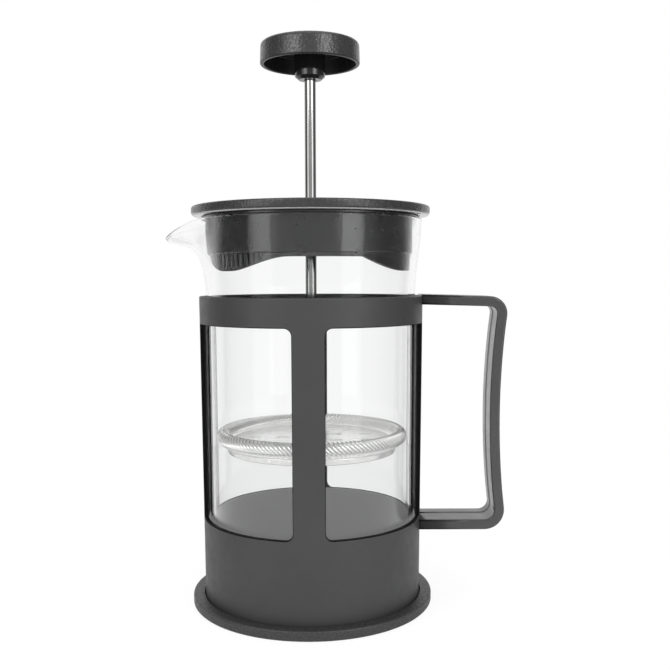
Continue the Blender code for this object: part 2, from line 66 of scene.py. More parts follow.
# Handle
STRAP_WIDTH = 15.5 * MM
STRAP_THICKNESS = 3.4 * MM
STRAP_CORNER = 6.0 * MM
STRAP_EDGE = 0.7 * MM
TOP_BAR_Z = 102.1 * MM
TOP_BAR_DROP = 0.8 * MM
BOTTOM_BAR_Z = 26.6 * MM
GRIP_X = 61.1 * MM
GRIP_WAIST_Z = 62.0 * MM
GRIP_CURVE = 1.8                    # grip bow, in 1/m
STRAP_SEAM = 0.12 * MM              # between the strap's ends and the holder
GROOVE_WIDTH = 5.6 * MM
GROOVE_DEPTH = 0.25 * MM
GROOVE_CORNER = 0.5 * MM

# Foot
FOOT_WELL_RADIUS = 36.75 * MM
FOOT_FLOOR = 1.5 * MM

# Beaker
GLASS_WALL = 1.6 * MM
GLASS_LOW_RADIUS = 34.3 * MM
GLASS_RADIUS = 35.0 * MM
GLASS_LEAN_TOP = 100 * MM
GLASS_CORNER = 6.0 * MM
GLASS_STRAIGHT_TOP = 104.0 * MM
GLASS_FLARE = 1.9 * MM
GLASS_FLARE_TOP = 126.0 * MM
RIM_Z = 128.6 * MM
SPOUT_REACH = 11.5 * MM
SPOUT_DROP = 5.8 * MM
SPOUT_HALF_ANGLE = radians(36)
SPOUT_DEPTH = 5.6 * MM
GLASS_BEAD = 0.35 * MM              # how far the rim stands proud
GLASS_BEAD_HEIGHT = 2.2 * MM
RIM_ROUNDING = 0.62 * MM

# Lid
LID_UNDERSIDE = 130.3 * MM
LID_LIP = 3.3 * MM
LID_CROWN = 1.6 * MM
LID_HOLE = 3.9 * MM                 # radius
LID_LOWER_EDGE = 1.2 * MM           # rounding of the lip
SKIRT_RADIUS = 34.0 * MM
SKIRT_STEP = 0.8 * MM
SKIRT_STEP_Z = 117.4 * MM
SKIRT_WALL = 1.2 * MM
SKIRT_EDGE = [(-180, 118.6), (-96, 118.6), (-54, 111.6), (-48, 111.6), (-10, 115.9),
              (30, 115.9), (64, 111.6), (86, 111.6), (118, 118.6), (180, 118.6)]
SKIRT_KINK = 30
SLOT_COUNT = 9
SLOT_FIRST = -26.0
SLOT_PITCH = -3.6
SLOT_WIDTH = 0.8 * MM
SLOT_TOP = 117.0 * MM
SKIRT_LEVELS = 7                    # points up each face of the skirt
SKIRT_TOP_POINTS = 8                # points round the flange
BUSH_FLANGE_HEIGHT = 0.8 * MM
BUSH_NECK = 3.6 * MM
BUSH_BORE = 2.15 * MM

# Knob
KNOB_RIM_Z = 179.9 * MM
KNOB_WALL = 1.3 * MM
KNOB_CEILING_DROP = 2.9 * MM        # below the top
KNOB_BORE = 2.0 * MM
KNOB_BORE_DEPTH = 8.5 * MM
BOSS_RADIUS = 5.0 * MM

# Filter
ROD_BORE = 1.95 * MM                # of the pieces clamped on the rod
FILTER_ROUND = 128                  # sides of the filter's plates
COIL_TURNS = 134
COIL_WIRE = 0.36 * MM               # radius
COIL_CORE = 1.7 * MM                # radius of the edge inside the windings
COIL_LEAN = 1.20                    # sideways shift of a winding over its height
SPIRAL_HOLE_RINGS = [(10.0, 5), (19.5, 11)]
SPIRAL_HOLE_RADIUS = 2.4 * MM
CROSS_HOLES = 8
CROSS_HOLE_CIRCLE = 17.5 * MM
CROSS_HOLE_RADIUS = 5.2 * MM
CROSS_PLATE_THICKNESS = 0.8 * MM
NUT_CHAMFER = 0.45 * MM
CLOTH_LIGHT = 0.22                  # painted light: emission of the wire cloth, for what the glass lets in

# Marks in the plastics: waves per metre, and the depth of the finest
FLOW_MARKS = 45.0
GLOSS_CHANGES = 260.0
FINE_TEXTURE = 5200.0
FINE_TEXTURE_DEPTH = 0.012 * MM

# Stage
FLOOR_RADIUS = 300 * MM
FLOOR_GAP = 0.02 * MM               # below the foot
FLOOR_LIGHT = 0.16                  # emission
LIGHT_DISTANCE = 0.5
OVERHEAD_SIDE = 1.6
OVERHEAD_PLACE = (0.0, -0.05, 1.5)
WORLD_TURN = -6
WORLD_TONES = [(0.0, 0.62), (0.15, 0.60), (0.40, 0.17), (0.70, 0.17), (0.86, 1.0)]
CAMERA_LENS = 48.05
CAMERA_PLACE = (0.0080, -0.3026, 0.1096)
CAMERA_TILT = -3.71
CAMERA_ROLL = -0.21


# ---------------------------------------------------------------- sizes from the frame

BOXES = {node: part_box(node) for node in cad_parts}


def low_z(node):
    return BOXES[node][0].z


def top_z(node):
    return BOXES[node][1].z


def radius_of(node):
    """Outer radius of a turned node."""
    return BOXES[node][1].y


# ---------------------------------------------------------------- mesh helpers

def add_piece(name, shape, body, look, nodes, weighted=True):
    """Make an object of a bmesh, give it its look, and let it stand for CAD nodes."""
    bmesh.ops.remove_doubles(shape, verts=shape.verts, dist=1e-7)
    bmesh.ops.recalc_face_normals(shape, faces=shape.faces)
    mesh = bpy.data.meshes.new(name)
    shape.to_mesh(mesh)
    shape.free()
    mesh.shade_smooth()
    piece = bpy.data.objects.new(name, mesh)
    bpy.context.scene.collection.objects.link(piece)
    mesh.materials.append(look)
    if weighted:
        normals = piece.modifiers.new("normals", "WEIGHTED_NORMAL")
        normals.keep_sharp = True
    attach(piece, body)
    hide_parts(*nodes)
    return piece


def extra_look(piece, look, chosen):
    """Give one more look to the faces for which chosen(centre, normal) is true."""
    piece.data.materials.append(look)
    index = len(piece.data.materials) - 1
    for face in piece.data.polygons:
        if chosen(face.center, face.normal):
            face.material_index = index


def fillet(before, corner, after, radius, steps=FILLET_STEPS):
    """Points of an arc that rounds a corner, no longer than the runs on either side allow."""
    back, ahead = Vector(before) - corner, Vector(after) - corner
    reach = 0.48 * min(back.length, ahead.length)
    back.normalize()
    ahead.normalize()
    half = back.angle(ahead) / 2
    radius = min(radius, reach * tan(half))
    if radius < 1e-6 or half > pi / 2 - 0.01:
        return [corner] * (steps + 1)
    centre = corner + (back + ahead).normalized() * radius / sin(half)
    outward = corner - centre
    middle = atan2(outward.y, outward.x)
    turn = 1 if back.cross(ahead) < 0 else -1
    sweep = pi / 2 - half
    angles = [middle + turn * sweep * (2 * i / steps - 1) for i in range(steps + 1)]
    return [centre + radius * Vector((cos(a), sin(a))) for a in angles]


def rounded(corners, closed):
    """An outline whose corners are rounded. Each corner is (x, y, radius)."""
    spots = [Vector(corner[:2]) for corner in corners]
    points = []
    for i, (spot, corner) in enumerate(zip(spots, corners)):
        is_end = not closed and i in (0, len(spots) - 1)
        if is_end or corner[2] == 0:
            points.append(spot)
        else:
            points += fillet(spots[i - 1], spot, spots[(i + 1) % len(spots)], corner[2])
    return points


def ring_of(shape, radius, z, angles):
    if radius < 1e-7:
        return [shape.verts.new((0, 0, z))]
    return [shape.verts.new((radius * cos(a), radius * sin(a), z)) for a in angles]


def bridge(shape, first, second, closed=True):
    """Faces between two rows of vertices. A row of one is a pole."""
    count = max(len(first), len(second))
    for i in range(count if closed else count - 1):
        j = (i + 1) % count
        if len(first) == 1:
            shape.faces.new((first[0], second[i], second[j]))
        elif len(second) == 1:
            shape.faces.new((first[i], first[j], second[0]))
        else:
            shape.faces.new((first[i], first[j], second[j], second[i]))


def lathe(corners, segments=ROUND, closed=False):
    """Turn an outline of (r, z, corner radius) about the Z axis."""
    shape = bmesh.new()
    angles = [2 * pi * k / segments for k in range(segments)]
    rings = [ring_of(shape, p.x, p.y, angles) for p in rounded(corners, closed)]
    for first, second in zip(rings, rings[1:] + (rings[:1] if closed else [])):
        bridge(shape, first, second)
    return shape


def smooth_step(t):
    t = min(1.0, max(0.0, t))
    return t * t * (3 - 2 * t)


# ---------------------------------------------------------------- materials

def new_look(name):
    """A material with one Principled shader, and a function that adds linked nodes."""
    look = bpy.data.materials.new(name)
    look.use_nodes = True
    nodes, links = look.node_tree.nodes, look.node_tree.links
    shader = nodes["Principled BSDF"]

    def node(kind, inputs=None, **settings):
        made = nodes.new(kind)
        for key, value in settings.items():
            setattr(made, key, value)
        for key, value in (inputs or {}).items():
            if isinstance(value, bpy.types.NodeSocket):
                links.new(value, made.inputs[key])
            else:
                made.inputs[key].default_value = value
        return made

    return look, shader, node, links


def object_coordinates(node):
    return node("ShaderNodeTexCoord").outputs["Object"]


def noise(node, where, per_metre, detail=3.0, roughness=0.55):
    made = node("ShaderNodeTexNoise", {"Vector": where, "Scale": per_metre, "Detail": detail,
                                       "Roughness": roughness})
    return made.outputs["Fac"]


def ramp(node, value, low, high, start=0.0, end=1.0):
    """Map a value linearly from (start, end) to (low, high)."""
    made = node("ShaderNodeMapRange", {"Value": value, "From Min": start, "From Max": end,
                                       "To Min": low, "To Max": high})
    return made.outputs["Result"]


def two_tones(node, share, dark, light):
    made = node("ShaderNodeMix", {"Factor": share}, data_type="RGBA")
    made.inputs["A"].default_value = (*dark, 1.0)
    made.inputs["B"].default_value = (*light, 1.0)
    return made.outputs["Result"]


def bump(node, links, shader, height, distance, strength=1.0):
    made = node("ShaderNodeBump", {"Height": height, "Distance": distance, "Strength": strength})
    links.new(made.outputs["Normal"], shader.inputs["Normal"])


def glow(shader, strength):
    """White light of its own. In the beaker it is painted light, standing for what the glass lets
    in.
    """
    shader.inputs["Emission Color"].default_value = (1.0, 1.0, 1.0, 1.0)
    shader.inputs["Emission Strength"].default_value = strength


def smooth_plastic(name, grey, roughness, specular=0.5):
    """Satin moulding: faint flow marks, a very fine texture and soft changes of gloss."""
    look, shader, node, links = new_look(name)
    shader.inputs["Specular IOR Level"].default_value = specular
    where = object_coordinates(node)
    flow = noise(node, where, FLOW_MARKS, 2.0)
    fine = noise(node, where, FINE_TEXTURE, 2.0)
    mark = noise(node, where, GLOSS_CHANGES, 4.0)
    tone = ramp(node, flow, 0.0, 1.0, 0.3, 0.7)
    links.new(two_tones(node, tone, [g * 0.93 for g in grey], [g * 1.07 for g in grey]),
              shader.inputs["Base Color"])
    links.new(ramp(node, mark, roughness - 0.05, roughness + 0.07, 0.3, 0.7),
              shader.inputs["Roughness"])
    bump(node, links, shader, fine, FINE_TEXTURE_DEPTH, 0.5)
    return look


def painted_inside_plastic(name, wall, painted_light_inside, light, edge_z):
    """Inside of the holder: near-black above a height, as painted shade, and paler and glowing
    below it, as painted light for what comes in through the glass.
    """
    look, shader, node, links = new_look(name)
    where = object_coordinates(node)
    height = node("ShaderNodeSeparateXYZ", {"Vector": where}).outputs["Z"]
    share = ramp(node, height, 1.0, 0.0, edge_z - 0.1 * MM, edge_z)
    links.new(two_tones(node, share, wall, painted_light_inside), shader.inputs["Base Color"])
    glow(shader, light)
    links.new(ramp(node, share, 0.0, light), shader.inputs["Emission Strength"])
    fine = noise(node, where, FINE_TEXTURE, 2.0)
    mark = noise(node, where, GLOSS_CHANGES, 4.0)
    links.new(ramp(node, mark, 0.45, 0.57, 0.3, 0.7), shader.inputs["Roughness"])
    bump(node, links, shader, fine, FINE_TEXTURE_DEPTH, 0.5)
    return look


def polished_plastic(name, tone, roughness):
    """The smooth inner side of a grained moulding, with faint polishing marks. The tones given to
    it here are painted: near-black for painted shade under the lid, on the knob's boss and in its
    hollow, pale for a painted highlight on the lid's lower edge.
    """
    look, shader, node, links = new_look(name)
    where = object_coordinates(node)
    marks = noise(node, where, 900.0, 3.0)
    links.new(two_tones(node, marks, [tone * 0.9] * 3, [tone * 1.1] * 3),
              shader.inputs["Base Color"])
    links.new(ramp(node, marks, roughness - 0.03, roughness + 0.04, 0.3, 0.7),
              shader.inputs["Roughness"])
    return look


def grained_plastic(name, grey, roughness, grain_mm, depth_mm):
    """Spark-eroded moulding: irregular pits of one size, darker in the pits as painted shade and
    lighter on their crests as painted light.
    """
    look, shader, node, links = new_look(name)
    where = object_coordinates(node)
    warp = node("ShaderNodeTexNoise", {"Vector": where, "Scale": 500.0 / grain_mm, "Detail": 2.0})
    spread = node("ShaderNodeVectorMath", {0: warp.outputs["Color"]}, operation="SCALE")
    spread.inputs["Scale"].default_value = 0.8 * grain_mm * MM
    moved = node("ShaderNodeVectorMath", {0: where, 1: spread.outputs["Vector"]}, operation="ADD")
    cells = node("ShaderNodeTexVoronoi", {"Vector": moved.outputs["Vector"],
                                          "Scale": 1000.0 / grain_mm, "Smoothness": 0.6},
                 feature="SMOOTH_F1")
    pits = ramp(node, cells.outputs["Distance"], 1.0, 0.0, 0.1, 0.7)
    links.new(two_tones(node, pits, [g * 0.75 for g in grey], [g * 1.25 for g in grey]),
              shader.inputs["Base Color"])
    links.new(ramp(node, pits, roughness + 0.12, roughness - 0.06), shader.inputs["Roughness"])
    bump(node, links, shader, pits, depth_mm * MM)
    return look


def clear_glass():
    """Blown glass: clear, with a slow unevenness, and weak reflections of the softboxes."""
    look, shader, node, links = new_look("clear_glass")
    shader.inputs["Base Color"].default_value = (0.968, 0.972, 0.970, 1.0)
    shader.inputs["Roughness"].default_value = 0.0
    shader.inputs["IOR"].default_value = 1.473
    shader.inputs["Transmission Weight"].default_value = 1.0
    shader.inputs["Specular Tint"].default_value = (0.28, 0.28, 0.28, 1.0)
    where = object_coordinates(node)
    waves = noise(node, where, 38.0, 1.0)
    bump(node, links, shader, waves, 0.08 * MM, 0.5)
    return look


def bright_steel(name, tone, roughness, stretch, metallic=1.0, light=0.0):
    """Stainless steel with fine drawing or rolling marks. stretch squeezes the marks' axes. light
    is an emission: painted light, for what the glass lets in.
    """
    look, shader, node, links = new_look(name)
    glow(shader, light)
    shader.inputs["Metallic"].default_value = metallic
    where = object_coordinates(node)
    squeezed = node("ShaderNodeVectorMath", {0: where, 1: stretch}, operation="MULTIPLY")
    marks = noise(node, squeezed.outputs["Vector"], 1600.0, 4.0, 0.6)
    stains = noise(node, where, 120.0, 2.0)
    links.new(two_tones(node, ramp(node, stains, 0.0, 1.0, 0.3, 0.7),
                        [tone * 0.9, tone * 0.9, tone * 0.89], [tone, tone, tone * 0.99]),
              shader.inputs["Base Color"])
    links.new(ramp(node, marks, roughness - 0.05, roughness + 0.08, 0.25, 0.75),
              shader.inputs["Roughness"])
    bump(node, links, shader, marks, 0.01 * MM, 0.3)
    return look


def wire_cloth():
    """Plain-woven wire: pale crests of the two sets of wires, the meshes between painted dark as
    shade, and a glow of painted light.
    """
    look, shader, node, links = new_look("wire_cloth")
    glow(shader, CLOTH_LIGHT)
    shader.inputs["Metallic"].default_value = 1.0
    where = object_coordinates(node)
    heights = []
    for direction in ("X", "Y"):
        wave = node("ShaderNodeTexWave", {"Vector": where, "Scale": 620.0, "Distortion": 0.0},
                    wave_type="BANDS", bands_direction=direction)
        heights.append(wave.outputs["Fac"])
    crest = node("ShaderNodeMath", {0: heights[0], 1: heights[1]}, operation="MAXIMUM")
    links.new(two_tones(node, crest.outputs["Value"], (0.45, 0.45, 0.45), (0.95, 0.95, 0.94)),
              shader.inputs["Base Color"])
    links.new(ramp(node, crest.outputs["Value"], 0.55, 0.25), shader.inputs["Roughness"])
    bump(node, links, shader, crest.outputs["Value"], 0.1 * MM)
    return look


def floor_look():
    """A white table top. The camera sees it nearly blown out, with a trace of a shadow."""
    look, shader, node, links = new_look("pale_floor")
    where = object_coordinates(node)
    links.new(two_tones(node, noise(node, where, 6.0), (0.84, 0.84, 0.84), (0.86, 0.86, 0.86)),
              shader.inputs["Base Color"])
    shader.inputs["Roughness"].default_value = 0.7
    glow(shader, FLOOR_LIGHT)
    white = node("ShaderNodeEmission", {"Strength": 1.05})
    ray = node("ShaderNodeLightPath")
    share = node("ShaderNodeMath", {0: ray.outputs["Is Camera Ray"], 1: 0.8}, operation="MULTIPLY")
    mix = node("ShaderNodeMixShader", {0: share.outputs["Value"], 1: shader.outputs["BSDF"],
                                       2: white.outputs["Emission"]})
    links.new(mix.outputs["Shader"], look.node_tree.nodes["Material Output"].inputs["Surface"])
    return look


# ---------------------------------------------------------------- holder

def holder_radius(z):
    bottom, top = low_z("holder_frame"), top_z("holder_frame")
    share = (z - bottom) / (top - bottom)
    return CUP_RADIUS + (radius_of("holder_frame") - CUP_RADIUS) * share


def bore_radius(z):
    bottom, top = low_z("holder_frame"), top_z("holder_frame")
    share = (z - bottom) / (top - bottom)
    return BORE_BOTTOM_RADIUS + (BORE_TOP_RADIUS - BORE_BOTTOM_RADIUS) * share


def quarter_loop(reach, steps=(6, 24, 22)):
    """Points round a window, as (angle, z). reach(turn, side) is the way from a corner's centre.

    The four corners have the same centres for every loop, so that loops match point to point.
    """
    corner_steps, top_steps, side_steps = steps
    across = pi / 4 - (STRUT_WIDTH / 2 + WINDOW_CORNER) / radius_of("holder_frame")
    low, high = WINDOW_BOTTOM + WINDOW_CORNER, WINDOW_TOP - WINDOW_CORNER
    centres = [(across, high), (-across, high), (-across, low), (across, low)]
    corners = []
    for quarter, (angle, z) in enumerate(centres):
        spots = [reach(quarter, i / corner_steps) for i in range(corner_steps + 1)]
        corners.append([(angle + a, z + b) for a, b in spots])
    loop = []
    for quarter in range(4):
        steps_here = top_steps if quarter % 2 == 0 else side_steps
        start, end = corners[quarter][-1], corners[(quarter + 1) % 4][0]
        loop += corners[quarter]
        for i in range(1, steps_here):
            t = i / steps_here
            loop.append((start[0] + (end[0] - start[0]) * t, start[1] + (end[1] - start[1]) * t))
    return loop


def window_reach(margin):
    """Reach of a window's own outline, grown by a margin."""
    radius = WINDOW_CORNER + margin

    def reach(quarter, t):
        turn = pi / 2 * (quarter + t)
        return radius * cos(turn) / radius_of("holder_frame"), radius * sin(turn)

    return reach


def panel_reach(low, high):
    """Reach of the square border of a quarter of the wall, between two heights."""
    across = (STRUT_WIDTH / 2 + WINDOW_CORNER) / radius_of("holder_frame")
    above = high - (WINDOW_TOP - WINDOW_CORNER)
    below = WINDOW_BOTTOM + WINDOW_CORNER - low

    def reach(quarter, t):
        first, second = min(1.0, 2 * t), min(1.0, 2 - 2 * t)
        if quarter == 0:
            return across * second, above * first
        if quarter == 1:
            return -across * first, above * second
        if quarter == 2:
            return -across * second, -below * first
        return across * first, -below * second

    return reach


def add_windowed_walls(shape, panel):
    """Four quarters of the wall: in from the border, through the window and out again."""
    edge = HOLDER_EDGE
    angles = [pi / 2 * k / FILLET_STEPS for k in range(FILLET_STEPS + 1)]

    def blended(t, margin):
        window = quarter_loop(window_reach(margin))
        return [(a + (c - a) * t, b + (d - b) * t) for (a, b), (c, d) in zip(window, panel)]

    rows = [(blended(t, edge), holder_radius, 0.0) for t in (1.0, 0.7, 0.4, 0.15)]
    for angle in angles:
        rows.append((blended(0.0, edge * (1 - sin(angle))), holder_radius,
                     -edge * (1 - cos(angle))))
    for angle in reversed(angles):
        rows.append((blended(0.0, edge * (1 - sin(angle))), bore_radius,
                     edge * (1 - cos(angle))))
    rows += [(blended(t, edge), bore_radius, 0.0) for t in (0.15, 0.4, 0.7, 1.0)]
    for quarter in range(4):
        middle = pi / 4 + quarter * pi / 2
        rings = []
        for loop, radius_at, inset in rows:
            ring = []
            for angle, z in loop:
                radius = radius_at(z) + inset
                spot = (radius * cos(middle + angle), radius * sin(middle + angle), z)
                ring.append(shape.verts.new(spot))
            rings.append(ring)
        for first, second in zip(rings, rings[1:]):
            bridge(shape, first, second)


def add_rim_and_cup(shape, panel, wall_low, wall_high):
    """The turned parts above and below the walls, on the angles of the walls' borders."""
    edge = HOLDER_EDGE
    bottom, top = low_z("holder_frame"), top_z("holder_frame")
    half = [angle for angle, z in panel if z > wall_high - 1e-7]
    turns = sorted({round(pi / 4 + k * pi / 2 + a, 6) % round(2 * pi, 6) for k in range(4)
                    for a in half})
    rim = [(holder_radius(wall_high), wall_high, 0), (holder_radius(top), top, edge),
           (bore_radius(top), top, edge), (bore_radius(wall_high), wall_high, 0)]
    floor = bottom + CUP_FLOOR
    cup = [(holder_radius(wall_low), wall_low, 0), (holder_radius(bottom), bottom, edge),
           (0, bottom, 0)]
    well = [(bore_radius(wall_low), wall_low, 0), (bore_radius(floor), floor, 2 * MM),
            (0, floor, 0)]
    for corners in (rim, cup, well):
        rings = [ring_of(shape, p.x, p.y, turns) for p in rounded(corners, False)]
        for first, second in zip(rings, rings[1:]):
            bridge(shape, first, second)


def make_holder(look, painted_light_inside, shade):
    """Cup, struts and ring in one, with filleted windows and edges."""
    edge = HOLDER_EDGE
    bottom, top = low_z("holder_frame"), top_z("holder_frame")
    wall_low, wall_high = bottom + CUP_FLOOR + GLASS_CORNER, top - 1.0 * MM
    panel = quarter_loop(panel_reach(wall_low, wall_high))
    shape = bmesh.new()
    add_windowed_walls(shape, panel)
    add_rim_and_cup(shape, panel, wall_low, wall_high)
    bmesh.ops.remove_doubles(shape, verts=shape.verts, dist=2e-6)
    holder = add_piece("holder", shape, "holder", look, ["holder_frame"])

    def is_window_side(centre, normal):
        outward = Vector((centre.x, centre.y, 0)).normalized()
        beside = WINDOW_BOTTOM - edge < centre.z < WINDOW_TOP + edge
        return beside and -0.98 < normal.dot(outward) < 0.85

    def is_painted_inside(centre, normal):
        inside = centre.xy.length < bore_radius(centre.z) + edge
        is_sill_top = centre.z > WINDOW_BOTTOM - edge and normal.z > 0.9
        in_reach = bottom + 0.5 * CUP_FLOOR < centre.z < WINDOW_TOP + edge
        return inside and in_reach and not is_sill_top

    # painted shade: the sides of the windows are near-black
    extra_look(holder, shade, is_window_side)
    # painted shade on the inside above the sill, painted light below it
    extra_look(holder, painted_light_inside, is_painted_inside)


# ---------------------------------------------------------------- handle

def grip_point(z):
    return Vector((GRIP_X + GRIP_CURVE * (z - GRIP_WAIST_Z) ** 2, z))


def strap_path():
    """Middle line of the strap in the (x, z) plane, from the ring to the cup."""
    ring, cup = radius_of("holder_frame"), holder_radius(BOTTOM_BAR_Z)
    top_root, bottom_root = Vector((ring, TOP_BAR_Z)), Vector((cup, BOTTOM_BAR_Z))
    top_corner, bottom_corner = grip_point(TOP_BAR_Z - TOP_BAR_DROP), grip_point(BOTTOM_BAR_Z)
    grip = [grip_point(z * MM) for z in range(92, 35, -3)]
    top_bend = fillet(top_root, top_corner, grip[0], STRAP_CORNER, 14)
    bottom_bend = fillet(grip[-1], bottom_corner, bottom_root, STRAP_CORNER, 14)
    return [top_root] + top_bend + grip + bottom_bend + [bottom_root]


def strap_section():
    """Outline of the strap as (across, outward), with a groove down its inner face."""
    half, deep, lip = STRAP_WIDTH / 2, STRAP_THICKNESS / 2, GROOVE_WIDTH / 2
    bed = -deep + GROOVE_DEPTH
    outline = [(half, deep, STRAP_EDGE), (-half, deep, STRAP_EDGE), (-half, -deep, STRAP_EDGE),
               (-lip, -deep, GROOVE_CORNER), (-lip * 0.7, bed, GROOVE_CORNER),
               (lip * 0.7, bed, GROOVE_CORNER), (lip, -deep, GROOVE_CORNER),
               (half, -deep, STRAP_EDGE)]
    return rounded(outline, True)


def make_handle(look):
    """The strap's section carried along its path, its ends shaped to the round holder."""
    path = strap_path()
    last = len(path) - 1
    ring, cup = radius_of("holder_frame"), holder_radius(BOTTOM_BAR_Z)
    shape = bmesh.new()
    rings = []
    for index, point in enumerate(path):
        along = (path[min(index + 1, last)] - path[max(index - 1, 0)]).normalized()
        outward = Vector((-along.y, along.x))
        root = ring if index < last / 2 else cup
        row = []
        for across, out in strap_section():
            spot = point + outward * out
            x = spot.x
            if index in (0, last):
                x = sqrt((root + STRAP_SEAM) ** 2 - across ** 2)
            row.append(shape.verts.new((x, across, spot.y)))
        rings.append(row)
    for first, second in zip(rings, rings[1:]):
        bridge(shape, first, second)
    for end in (rings[0], rings[-1]):
        shape.faces.new(end)
    add_piece("strap_handle", shape, "holder", look, ["handle"])


def make_foot(look):
    """A disc with a well that takes the cup."""
    radius, height = radius_of("base_foot"), top_z("base_foot")
    corners = [(0, 0, 0), (radius - 0.5 * MM, 0, 0.3 * MM), (radius, 0.5 * MM, 0.5 * MM),
               (radius, height, 0.55 * MM), (FOOT_WELL_RADIUS, height, 0.2 * MM),
               (FOOT_WELL_RADIUS, FOOT_FLOOR, 0.2 * MM), (0, FOOT_FLOOR, 0)]
    add_piece("foot", lathe(corners), "holder", look, ["base_foot"])


# ---------------------------------------------------------------- beaker

def glass_radius(z):
    """Outer radius of the beaker above its bottom corner: a draft, a flare and a rim bead."""
    lean = min(1.0, z / GLASS_LEAN_TOP)
    flare = smooth_step((z - GLASS_STRAIGHT_TOP) / (GLASS_FLARE_TOP - GLASS_STRAIGHT_TOP))
    bead = GLASS_BEAD * smooth_step((z - RIM_Z) / GLASS_BEAD_HEIGHT + 1)
    straight = GLASS_LOW_RADIUS + (GLASS_RADIUS - GLASS_LOW_RADIUS) * lean
    return straight + GLASS_FLARE * flare + bead


def bend_to_spout(point):
    """Move a point of the plain beaker outwards and down into the spout."""
    radius = sqrt(point.x ** 2 + point.y ** 2)
    if point.z < GLASS_STRAIGHT_TOP or radius == 0:
        return point
    away = Vector((-1, 0)).angle(Vector((point.x, point.y)))
    if away >= SPOUT_HALF_ANGLE:
        return point
    near = cos(pi / 2 * away / SPOUT_HALF_ANGLE) ** 2.6
    below_rim = max(0.0, RIM_Z - point.z) / SPOUT_DEPTH
    depth = 1 / (1 + below_rim ** 2.6)
    scale = 1 + SPOUT_REACH * near * depth / radius
    return Vector((point.x * scale, point.y * scale,
                   point.z - SPOUT_DROP * near ** 1.5 * depth))


def make_beaker(look):
    """An outer skin drawn out to the spout, thickened inwards, with a fire-polished rim."""
    bottom = low_z("beaker")
    corner_z = bottom + GLASS_CORNER
    shape = bmesh.new()
    angles = [2 * pi * k / ROUND for k in range(ROUND)]
    low_radius = glass_radius(corner_z)
    outline = [(0.0, bottom)]
    for i in range(9):
        turn = radians(-90 + 90 * i / 8)
        outline.append((low_radius - GLASS_CORNER + GLASS_CORNER * cos(turn),
                        corner_z + GLASS_CORNER * sin(turn)))
    heights = [z * MM for z in (30, 55, 80, 98, 102)]
    heights += [(104 + 1.1 * k) * MM for k in range(20)]
    heights += [(125.6 + 0.6 * k) * MM for k in range(5)]
    outline += [(glass_radius(z), z) for z in heights]
    outline.append((glass_radius(RIM_Z), RIM_Z))
    rings = [ring_of(shape, r, z, angles) for r, z in outline]
    for first, second in zip(rings, rings[1:]):
        bridge(shape, first, second)
    for vert in shape.verts:
        vert.co = bend_to_spout(vert.co)
    glass = add_piece("beaker_glass", shape, "glass", look, ["beaker"], False)
    wall = glass.modifiers.new("wall", "SOLIDIFY")
    wall.thickness = GLASS_WALL
    wall.offset = -1.0
    wall.use_even_offset = True
    rim = glass.modifiers.new("rim", "BEVEL")
    rim.limit_method = "ANGLE"
    rim.angle_limit = radians(50)
    rim.width = RIM_ROUNDING
    rim.segments = 4


# ---------------------------------------------------------------- lid

def make_lid_cover(look, underside, edge_painted_highlight):
    """A shallow disc with a drip lip, grained outside, smooth underneath in painted shade, its
    lower edge painted pale as a highlight.
    """
    radius, edge_z = radius_of("lid_cover"), low_z("lid_cover")
    crown = top_z("lid_cover")
    top = crown - LID_CROWN
    corners = [(radius, top, 0.7 * MM), (28 * MM, top + 0.6 * LID_CROWN, 0),
               (9 * MM, crown, 0), (LID_HOLE, crown, 0.3 * MM),
               (LID_HOLE, LID_UNDERSIDE, 0.2 * MM), (9 * MM, LID_UNDERSIDE, 0.3 * MM),
               (10 * MM, LID_UNDERSIDE + 1.2 * MM, 0.3 * MM),
               (26 * MM, LID_UNDERSIDE + 0.9 * MM, 0.3 * MM), (31 * MM, LID_UNDERSIDE, 0.3 * MM),
               (radius - LID_LIP, LID_UNDERSIDE, 0.3 * MM), (radius - LID_LIP, edge_z, 0.3 * MM),
               (radius, edge_z, LID_LOWER_EDGE)]
    shape = lathe(corners, closed=True)
    lid = add_piece("lid_top", shape, "lid", look, ["lid_cover"])

    def is_under(centre, normal):
        within = centre.xy.length < radius - 0.5 * LID_LIP and centre.z < top - 0.5 * MM
        return normal.z < -0.25 or within

    def is_lower_edge(centre, normal):
        at_edge = centre.xy.length > radius - LID_LOWER_EDGE - 0.1 * MM
        return at_edge and -0.99 < normal.z < -0.6

    # painted shade: the underside is near-black
    extra_look(lid, underside, is_under)
    # painted highlight: the lower edge is pale
    extra_look(lid, edge_painted_highlight, is_lower_edge)


def skirt_edge(degrees):
    """Height of the skirt's lower edge, at an angle from the front that grows towards +X."""
    pairs = list(zip(SKIRT_EDGE, SKIRT_EDGE[1:]))
    (start, low), (end, high) = next(p for p in pairs if degrees <= p[1][0])
    t = (degrees - start) / (end - start)
    share = 1 - (1 - t) ** 2 if start == SKIRT_KINK else smooth_step(t)
    return (low + (high - low) * share) * MM


def skirt_outer(z):
    """Outer radius of the skirt: a step, with a slight draft below it."""
    below = (SKIRT_STEP_Z - z) / (8 * MM)
    if below <= 0:
        return SKIRT_RADIUS
    return SKIRT_RADIUS - SKIRT_STEP * smooth_step(below * 16) - 0.2 * MM * below


def skirt_angles():
    """Degrees from the front: even steps, with the sides of each strainer slot put in."""
    half = SLOT_WIDTH / 2 / SKIRT_RADIUS * 180 / pi
    slots = [SLOT_FIRST + k * SLOT_PITCH for k in range(SLOT_COUNT)]
    sides = [s + d for s in slots for d in (-half, half)]
    even = [-180 + 1.5 * k for k in range(240)]
    clear = [a for a in even if min(abs(a - s) for s in slots) > half + 0.35]
    return sorted(clear + sides), [(s - half, s + half) for s in slots]


